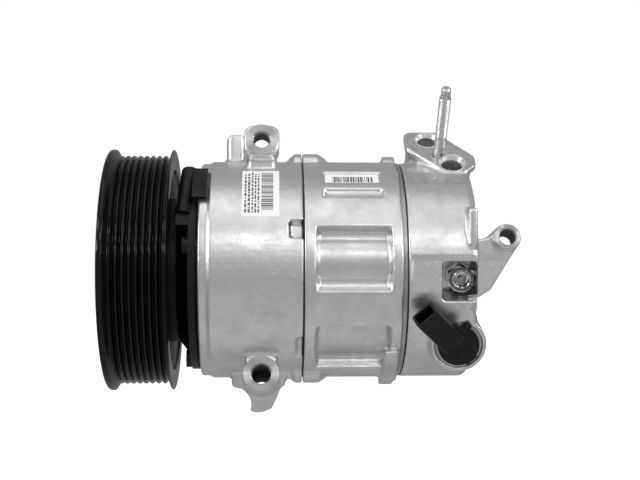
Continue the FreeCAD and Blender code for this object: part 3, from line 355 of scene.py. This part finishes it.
ALUMINIUM = cast_aluminium()
MACHINED = machined_aluminium()
MILLED = milled_aluminium()
BORE_SHADE = bore_painted_shade()
REAMED = port_wall()
STUD = stud_steel()
BLACK_GLOSS = pulley_paint()
BLACK_COAT = coil_paint()
PLASTIC = black_plastic()
PLATED = plated_steel()
PLATING = valve_plating()
OXIDE_AND_SHADE = valve_oxide_and_shade()
GROUND = ground_steel()
TURNED = turned_steel()
RUBBER = gasket_rubber()
COPPER = copper_wire()
GLOWING_FILM = label_film_painted_glow()
INK = label_ink()

BY_SLOT = {
    "pulley_paint": BLACK_GLOSS, "coil_paint": BLACK_COAT, "cast_aluminium": ALUMINIUM,
    "black_plastic": PLASTIC, "steel": TURNED, "bearing_steel": GROUND, "zinc_steel": PLATED,
    "copper": COPPER, "gasket_black": RUBBER, "label_white": GLOWING_FILM,
}


def dress(item, material):
    """The object's only material."""
    item.data.materials.clear()
    item.data.materials.append(material)


def dress_nodes():
    """Gives every carried-over node the finish of its material slot."""
    for part in frame["record"]["subparts"]:
        dress(NODES[part["node"]], BY_SLOT[part["material_slot"]])
    dress(NODES["relief_valve_body"], PLATING)
    dress(NODES["valve_plate"], TURNED)
    dress(NODES["port_stud"], STUD)


# ---------------------------------------------------------------- castings with real fillets

VOXEL = 0.5 * MM
MOST_TRIANGLES = 190000


def evaluated_mesh(item):
    """The mesh that the object's modifiers give."""
    graph = bpy.context.evaluated_depsgraph_get()
    return bpy.data.meshes.new_from_object(item.evaluated_get(graph))


def with_modifier(item, kind, **settings):
    """Applies one modifier to the object's own mesh."""
    modifier = item.modifiers.new("step", kind)
    for name, value in settings.items():
        setattr(modifier, name, value)
    mesh = evaluated_mesh(item)
    item.modifiers.clear()
    item.data = mesh


def revoxel(item):
    """Rebuilds the surface on a grid, which closes what the last step folded."""
    with_modifier(item, "REMESH", mode="VOXEL", voxel_size=VOXEL, adaptivity=0)


def swell(item, distance):
    """Moves every vertex along its normal."""
    mesh = item.data
    count = len(mesh.vertices)
    places = np.empty(count * 3, np.float32)
    normals = np.empty(count * 3, np.float32)
    mesh.vertices.foreach_get("co", places)
    mesh.vertex_normals.foreach_get("vector", normals)
    mesh.vertices.foreach_set("co", places + normals * distance)
    mesh.update()


def casting(node, fillet):
    """The CAD solid with its inner corners filled to a fillet and its outer edges eased."""
    item = bpy.data.objects.new(node + "_casting", NODES[node].data.copy())
    bpy.context.scene.collection.objects.link(item)
    revoxel(item)
    swell(item, fillet)
    revoxel(item)
    swell(item, -fillet)
    revoxel(item)
    with_modifier(item, "SMOOTH", factor=0.5, iterations=5)
    triangles = 2 * len(item.data.polygons)
    if triangles > MOST_TRIANGLES:
        with_modifier(item, "DECIMATE", ratio=MOST_TRIANGLES / triangles)
    item.data.shade_smooth()
    dress(item, ALUMINIUM)
    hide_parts(node)
    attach(item, "root")
    return item


def painted_pulley():
    """The pulley with every turned edge eased, as paint leaves it."""
    item = bpy.data.objects.new("pulley_painted", NODES["pulley"].data.copy())
    bpy.context.scene.collection.objects.link(item)
    with_modifier(item, "WELD", merge_threshold=0.004 * MM)
    with_modifier(item, "BEVEL", width=0.3 * MM, segments=2, limit_method="ANGLE",
                  angle_limit=math.radians(24), use_clamp_overlap=False)
    item.data.shade_smooth()
    item.data.set_sharp_from_angle(angle=math.radians(40))
    dress(item, BLACK_GLOSS)
    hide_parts("pulley")
    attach(item, "pulley")


# ---------------------------------------------------------------- pieces by lathe and strip

def add_mesh(name, mesh, material, matrix=None):
    """New piece that is fixed to the castings."""
    item = bpy.data.objects.new(name, mesh)
    bpy.context.scene.collection.objects.link(item)
    if matrix:
        item.matrix_world = matrix
    dress(item, material)
    bpy.context.view_layer.update()
    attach(item, "root")
    return item


LATHE_STEPS = 96


def lathe(name, profile, centre, axis, material):
    """Closed ring turned from (radius, height) points in millimetres, about an axis at a centre."""
    shape = bmesh.new()
    rows = []
    for i in range(LATHE_STEPS):
        turn = math.tau * i / LATHE_STEPS
        rows.append([
            shape.verts.new((
                radius * MM * math.cos(turn),
                radius * MM * math.sin(turn),
                height * MM,
            ))
            for radius, height in profile
        ])
    count = len(profile)
    for i in range(LATHE_STEPS):
        here, there = rows[i], rows[(i + 1) % LATHE_STEPS]
        for j in range(count):
            k = (j + 1) % count
            shape.faces.new((here[j], there[j], there[k], here[k]))
    bmesh.ops.recalc_face_normals(shape, faces=shape.faces)
    mesh = bpy.data.meshes.new(name)
    shape.to_mesh(mesh)
    shape.free()
    for face in mesh.polygons:
        face.use_smooth = True
    mesh.set_sharp_from_angle(angle=math.radians(35))
    matrix = Matrix.Translation(centre) @ axis.to_track_quat("Z", "Y").to_matrix().to_4x4()
    add_mesh(name, mesh, material, matrix)


SPOT_FACES = (  # piece, mount, the face's outer radius and its height above the bore's wall, in mm
    ("upper_ear", "upper_ear_bore", 9.0, 1.25),
    ("lower_ear", "lower_ear_bore", 9.9, 0.85),
    ("rear_arm", "rear_arm_bore", 7.4, 0.3),
)


def bore_faces():
    """Turned spot faces round the three mounting bores, with dark linings inside the bores as painted shade."""
    for name, mount, outer, lift in SPOT_FACES:
        inner = MOUNTS[mount]["dims"]["r_mm"]
        depth = MOUNTS[mount]["dims"]["length_mm"]
        axis = Vector(MOUNTS[mount]["axis"])
        edge = [
            (inner + 0.05, -2.2), (inner + 0.05, -0.7), (inner + 0.8, 0.0), (outer - 0.2, 0.0),
            (outer, -0.2), (outer, -0.5), (inner + 0.9, -0.5), (inner + 0.3, -2.2),
        ]
        face = mount_end(mount) + axis * (lift + 0.06) * MM
        lathe(name + "_face", edge, face, axis, MACHINED)
        # Dark lining just inside each bore's wall, which paints the shade in the bore.
        wall = [(inner - 0.12, -1.0), (inner - 0.12, -depth + 0.4), (inner + 0.3, -depth + 0.4),
                (inner + 0.3, -1.0)]
        lathe(name + "_wall", wall, mount_end(mount), axis, BORE_SHADE)


def port_faces():
    """Bright turned chamfers and spigot bores of the two hose ports."""
    for mount in ("suction_port", "discharge_port"):
        inner = MOUNTS[mount]["dims"]["r_mm"]
        depth = MOUNTS[mount]["dims"]["length_mm"]
        axis = Vector(MOUNTS[mount]["axis"])
        bore = [
            (inner + 1.5, 2.2), (inner - 0.05, 0.0), (inner - 0.05, -depth + 0.1),
            (inner + 0.3, -depth + 0.1), (inner + 0.3, -0.2), (inner + 1.8, 2.0),
        ]
        lathe(mount + "_bore", bore, mount_end(mount), axis, REAMED)


def relief_face():
    """Dark annulus, oxide and painted shade, and bright lip round the relief valve's mouth."""
    axis = Vector(JOINTS["relief_lift"]["axis"])
    low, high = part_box("relief_poppet")
    middle = (Vector(low) + Vector(high)) / 2
    front = max(vertex.co.dot(axis) for vertex in NODES["relief_valve_body"].data.vertices)
    face = middle + axis * (front - middle.dot(axis))
    annulus = [(4.9, 0.0), (4.9, 0.1), (6.5, 0.1), (6.8, -0.25), (6.6, -0.4), (5.2, -0.1)]
    # The annulus is dark from oxide and from painted shade of the groove.
    lathe("relief_valve_annulus", annulus, face, axis, OXIDE_AND_SHADE)
    lip = [(4.3, -1.2), (4.3, 0.1), (4.55, 0.32), (4.9, 0.32), (5.1, 0.12), (4.9, -0.4)]
    lathe("relief_valve_lip", lip, face, axis, PLATING)


def mill(item, mount):
    """Gives the casting's faces in a mount's plane the milled finish."""
    normal = Vector(MOUNTS[mount]["axis"])
    level = Vector(MOUNTS[mount]["pos_m"]).dot(normal)
    item.data.materials.append(MILLED)
    for face in item.data.polygons:
        if face.normal.dot(normal) > 0.97 and abs(face.center.dot(normal) - level) < 0.3 * MM:
            face.material_index = 1


# ---------------------------------------------------------------- labels

def on_barrel(x, angle, radius):
    """Point of the barrel, by the angle in degrees up from the front."""
    turn = math.radians(angle)
    return Vector((x, -radius * math.cos(turn), radius * math.sin(turn)))


def strip_on_barrel(shape, x_low, x_high, angle_low, angle_high, radius):
    """Printed bar bent round the barrel, as a thin patch."""
    steps = max(1, int((angle_high - angle_low) / 2))
    rows = []
    for i in range(steps + 1):
        angle = angle_low + (angle_high - angle_low) * i / steps
        rows.append([shape.verts.new(on_barrel(x, angle, radius)) for x in (x_low, x_high)])
    for i in range(steps):
        shape.faces.new((rows[i][0], rows[i][1], rows[i + 1][1], rows[i + 1][0]))


def finish_print(name, shape):
    """Turns flat patches into one piece of ink with a slight thickness."""
    mesh = bpy.data.meshes.new(name)
    shape.to_mesh(mesh)
    shape.free()
    item = add_mesh(name, mesh, INK)
    with_modifier(item, "SOLIDIFY", thickness=0.02 * MM, offset=1.0)


LABEL_SURFACE = 62.165 * MM
LABEL_HALF_ANGLE = 16.2
LABEL_ROWS = ((0.07, 0.05), (0.16, 0.06), (0.26, 0.045), (0.34, 0.045), (0.42, 0.045))
LABEL_BARS = (0.52, 0.84)


def part_label_print():
    """Rows of plain dashes and a bar code, with no lettering.

    Each row has its place and its thickness, both as shares of the label's width.
    """
    low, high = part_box("part_label")
    middle = math.degrees(math.atan2(high[2] + low[2], -(high[1] + low[1])))
    half = LABEL_HALF_ANGLE
    shape = bmesh.new()
    width = high[0] - low[0]
    random = np.random.default_rng(7)
    for place, thick in LABEL_ROWS:
        x = low[0] + width * place
        angle = middle - half + 1.2
        while angle < middle + half - 3:
            span = float(random.uniform(0.8, 3.0))
            strip_on_barrel(shape, x, x + width * thick, angle, angle + span, LABEL_SURFACE)
            angle += span + float(random.uniform(0.45, 0.9))
    bar_low, bar_high = (low[0] + width * share for share in LABEL_BARS)
    angle = middle - half + 3.0
    while angle < middle + half - 2.0:
        span = float(random.choice([0.28, 0.28, 0.55, 0.8]))
        strip_on_barrel(shape, bar_low, bar_high, angle, angle + span, LABEL_SURFACE)
        angle += span + float(random.choice([0.3, 0.3, 0.6]))
    finish_print("part_label_print", shape)


FACET_ANGLE = math.radians(56)
BAR_FOOT = -3.9
BAR_HEAD = 1.9
PRINT_LIFT = 0.08


def barcode_print():
    """Bars across the label on the block's flat facet."""
    low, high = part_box("barcode_label")
    middle = (Vector(low) + Vector(high)) / 2
    normal = Vector((0, -math.cos(FACET_ANGLE), math.sin(FACET_ANGLE)))
    up = Vector((1, 0, 0)).cross(normal) * -1
    random = np.random.default_rng(11)
    shape = bmesh.new()
    half = (high[0] - low[0]) / 2
    x = -half + 4.2 * MM
    while x < half - 4.4 * MM:
        span = float(random.choice([0.35, 0.35, 0.7, 1.0])) * MM
        outline = ((0, BAR_FOOT), (span, BAR_FOOT), (span, BAR_HEAD), (0, BAR_HEAD))
        corners = [middle + Vector((x + a, 0, 0)) + up * b * MM + normal * PRINT_LIFT * MM
                   for a, b in outline]
        shape.faces.new([shape.verts.new(corner) for corner in corners])
        x += span + float(random.choice([0.35, 0.35, 0.7])) * MM
    finish_print("barcode_print", shape)


# ---------------------------------------------------------------- studio

ROOM_BASE = 0.34
ROOM_LOBES = (  # direction, spread in degrees, strength
    ((0.1, -0.85, 0.50), 46, 0.33),
    ((0.0, 0.5, 0.9), 70, 0.10),
    ((0.0, 0.6, -0.8), 70, 0.12),
    ((-1.0, -0.3, 0.1), 50, 0.12),
    ((0.1, -0.6, -0.8), 55, 0.26),
)
SOFTBOXES = (  # name, place from the middle of the part, width, height, power
    ("top_box", (-0.15, -0.35, 0.9), 0.9, 0.6, 1.2),
    ("front_box", (0.15, -1.2, 0.7), 0.8, 0.14, 1.2),
    ("left_high_box", (-1.1, -0.6, 0.74), 0.6, 0.12, 2.4),
    ("left_low_box", (-1.1, -0.6, 0.33), 0.6, 0.12, 2.4),
    ("right_high_box", (0.9, -0.6, 0.68), 0.6, 0.12, 2.0),
    ("right_low_box", (0.9, -0.6, 0.28), 0.6, 0.12, 2.0),
)


def studio():
    """White surround for the eye; for the light, a soft grey room, brighter in front and above."""
    scene = bpy.context.scene
    scene.view_settings.view_transform = "Standard"
    world = bpy.data.worlds.new("studio")
    scene.world = world
    world.use_nodes = True
    tree = world.node_tree
    tree.nodes.clear()
    link = tree.links.new

    def node(kind, **settings):
        item = tree.nodes.new("ShaderNode" + kind)
        for name, value in settings.items():
            setattr(item, name, value)
        return item

    def lobe(direction, spread, strength):
        """Smooth bright patch of the room round a direction."""
        dot = node("VectorMath", operation="DOT_PRODUCT")
        link(place.outputs["Generated"], dot.inputs[0])
        dot.inputs[1].default_value = Vector(direction).normalized()
        fade = node("MapRange", interpolation_type="SMOOTHSTEP")
        fade.inputs["From Min"].default_value = math.cos(math.radians(spread))
        fade.inputs["From Max"].default_value = 1.0
        fade.inputs["To Max"].default_value = strength
        link(dot.outputs["Value"], fade.inputs["Value"])
        return fade.outputs["Result"]

    place = node("TexCoord")
    total = None
    for direction, spread, strength in ROOM_LOBES:
        value = lobe(direction, spread, strength)
        if total is None:
            total = value
            continue
        added = node("Math", operation="ADD")
        link(total, added.inputs[0])
        link(value, added.inputs[1])
        total = added.outputs["Value"]
    base = node("Math", operation="ADD")
    base.inputs[1].default_value = ROOM_BASE
    link(total, base.inputs[0])
    room = node("Background")
    link(base.outputs["Value"], room.inputs["Strength"])
    seen = node("Background")
    seen.inputs["Color"].default_value = (1, 1, 1, 1)
    mix = node("MixShader")
    ray = node("LightPath")
    output = node("OutputWorld")
    link(ray.outputs["Is Camera Ray"], mix.inputs["Fac"])
    link(room.outputs["Background"], mix.inputs[1])
    link(seen.outputs["Background"], mix.inputs[2])
    link(mix.outputs["Shader"], output.inputs["Surface"])


def softbox(name, place, target, size_x, size_y, power):
    """Rectangular lamp that faces a target."""
    data = bpy.data.lights.new(name, "AREA")
    data.shape = "RECTANGLE"
    data.size = size_x
    data.size_y = size_y
    data.energy = power
    item = bpy.data.objects.new(name, data)
    bpy.context.scene.collection.objects.link(item)
    item.location = place
    direction = Vector(target) - Vector(place)
    item.rotation_euler = direction.to_track_quat("-Z", "Y").to_euler()


def lights():
    """Softboxes that all face the middle of the part."""
    low, high = CAD_BOX
    middle = (Vector(low) + Vector(high)) / 2
    for name, offset, size_x, size_y, power in SOFTBOXES:
        softbox(name, middle + Vector(offset), middle, size_x, size_y, power)


FLOOR_DROP = 0.14
FLOOR_SPAN = 6.0


def floor():
    """Pale floor below the part, which hangs from its mounts; it stays out of the reflections."""
    low, high = CAD_BOX
    mesh = bpy.data.meshes.new("floor")
    level = low[2] - FLOOR_DROP
    span = FLOOR_SPAN
    mesh.from_pydata([(-span, -span, level), (span, -span, level), (span, span, level),
                      (-span, span, level)], [], [(0, 1, 2, 3)])
    item = bpy.data.objects.new("floor", mesh)
    bpy.context.scene.collection.objects.link(item)
    item.visible_glossy = False
    item.visible_diffuse = False
    paint = Paint("floor_white", grey(0.9), 0.0, 0.9, Emission_Color=(1, 1, 1, 1),
                  Emission_Strength=0.9)
    dress(item, paint.material)


def camera():
    """Level with the shaft, in front of the middle of the front housing."""
    data = bpy.data.cameras.new("camera")
    data.lens = 67.5
    data.sensor_width = 36
    item = bpy.data.objects.new("camera", data)
    bpy.context.scene.collection.objects.link(item)
    item.location = (71.4 * MM, -695 * MM, 0)
    yaw = math.radians(-2.29)
    pitch = math.radians(1.41)
    item.rotation_euler = (math.radians(90) + pitch, 0, yaw)
    bpy.context.scene.camera = item


# ---------------------------------------------------------------- build

camera()
studio()
lights()
floor()
dress_nodes()
casting("front_housing", fillet=1.4 * MM)
casting("cylinder_block", fillet=0.9 * MM)
mill(casting("rear_head", fillet=1.6 * MM), "hose_flange_face")
painted_pulley()
bore_faces()
port_faces()
relief_face()
part_label_print()
barcode_print()
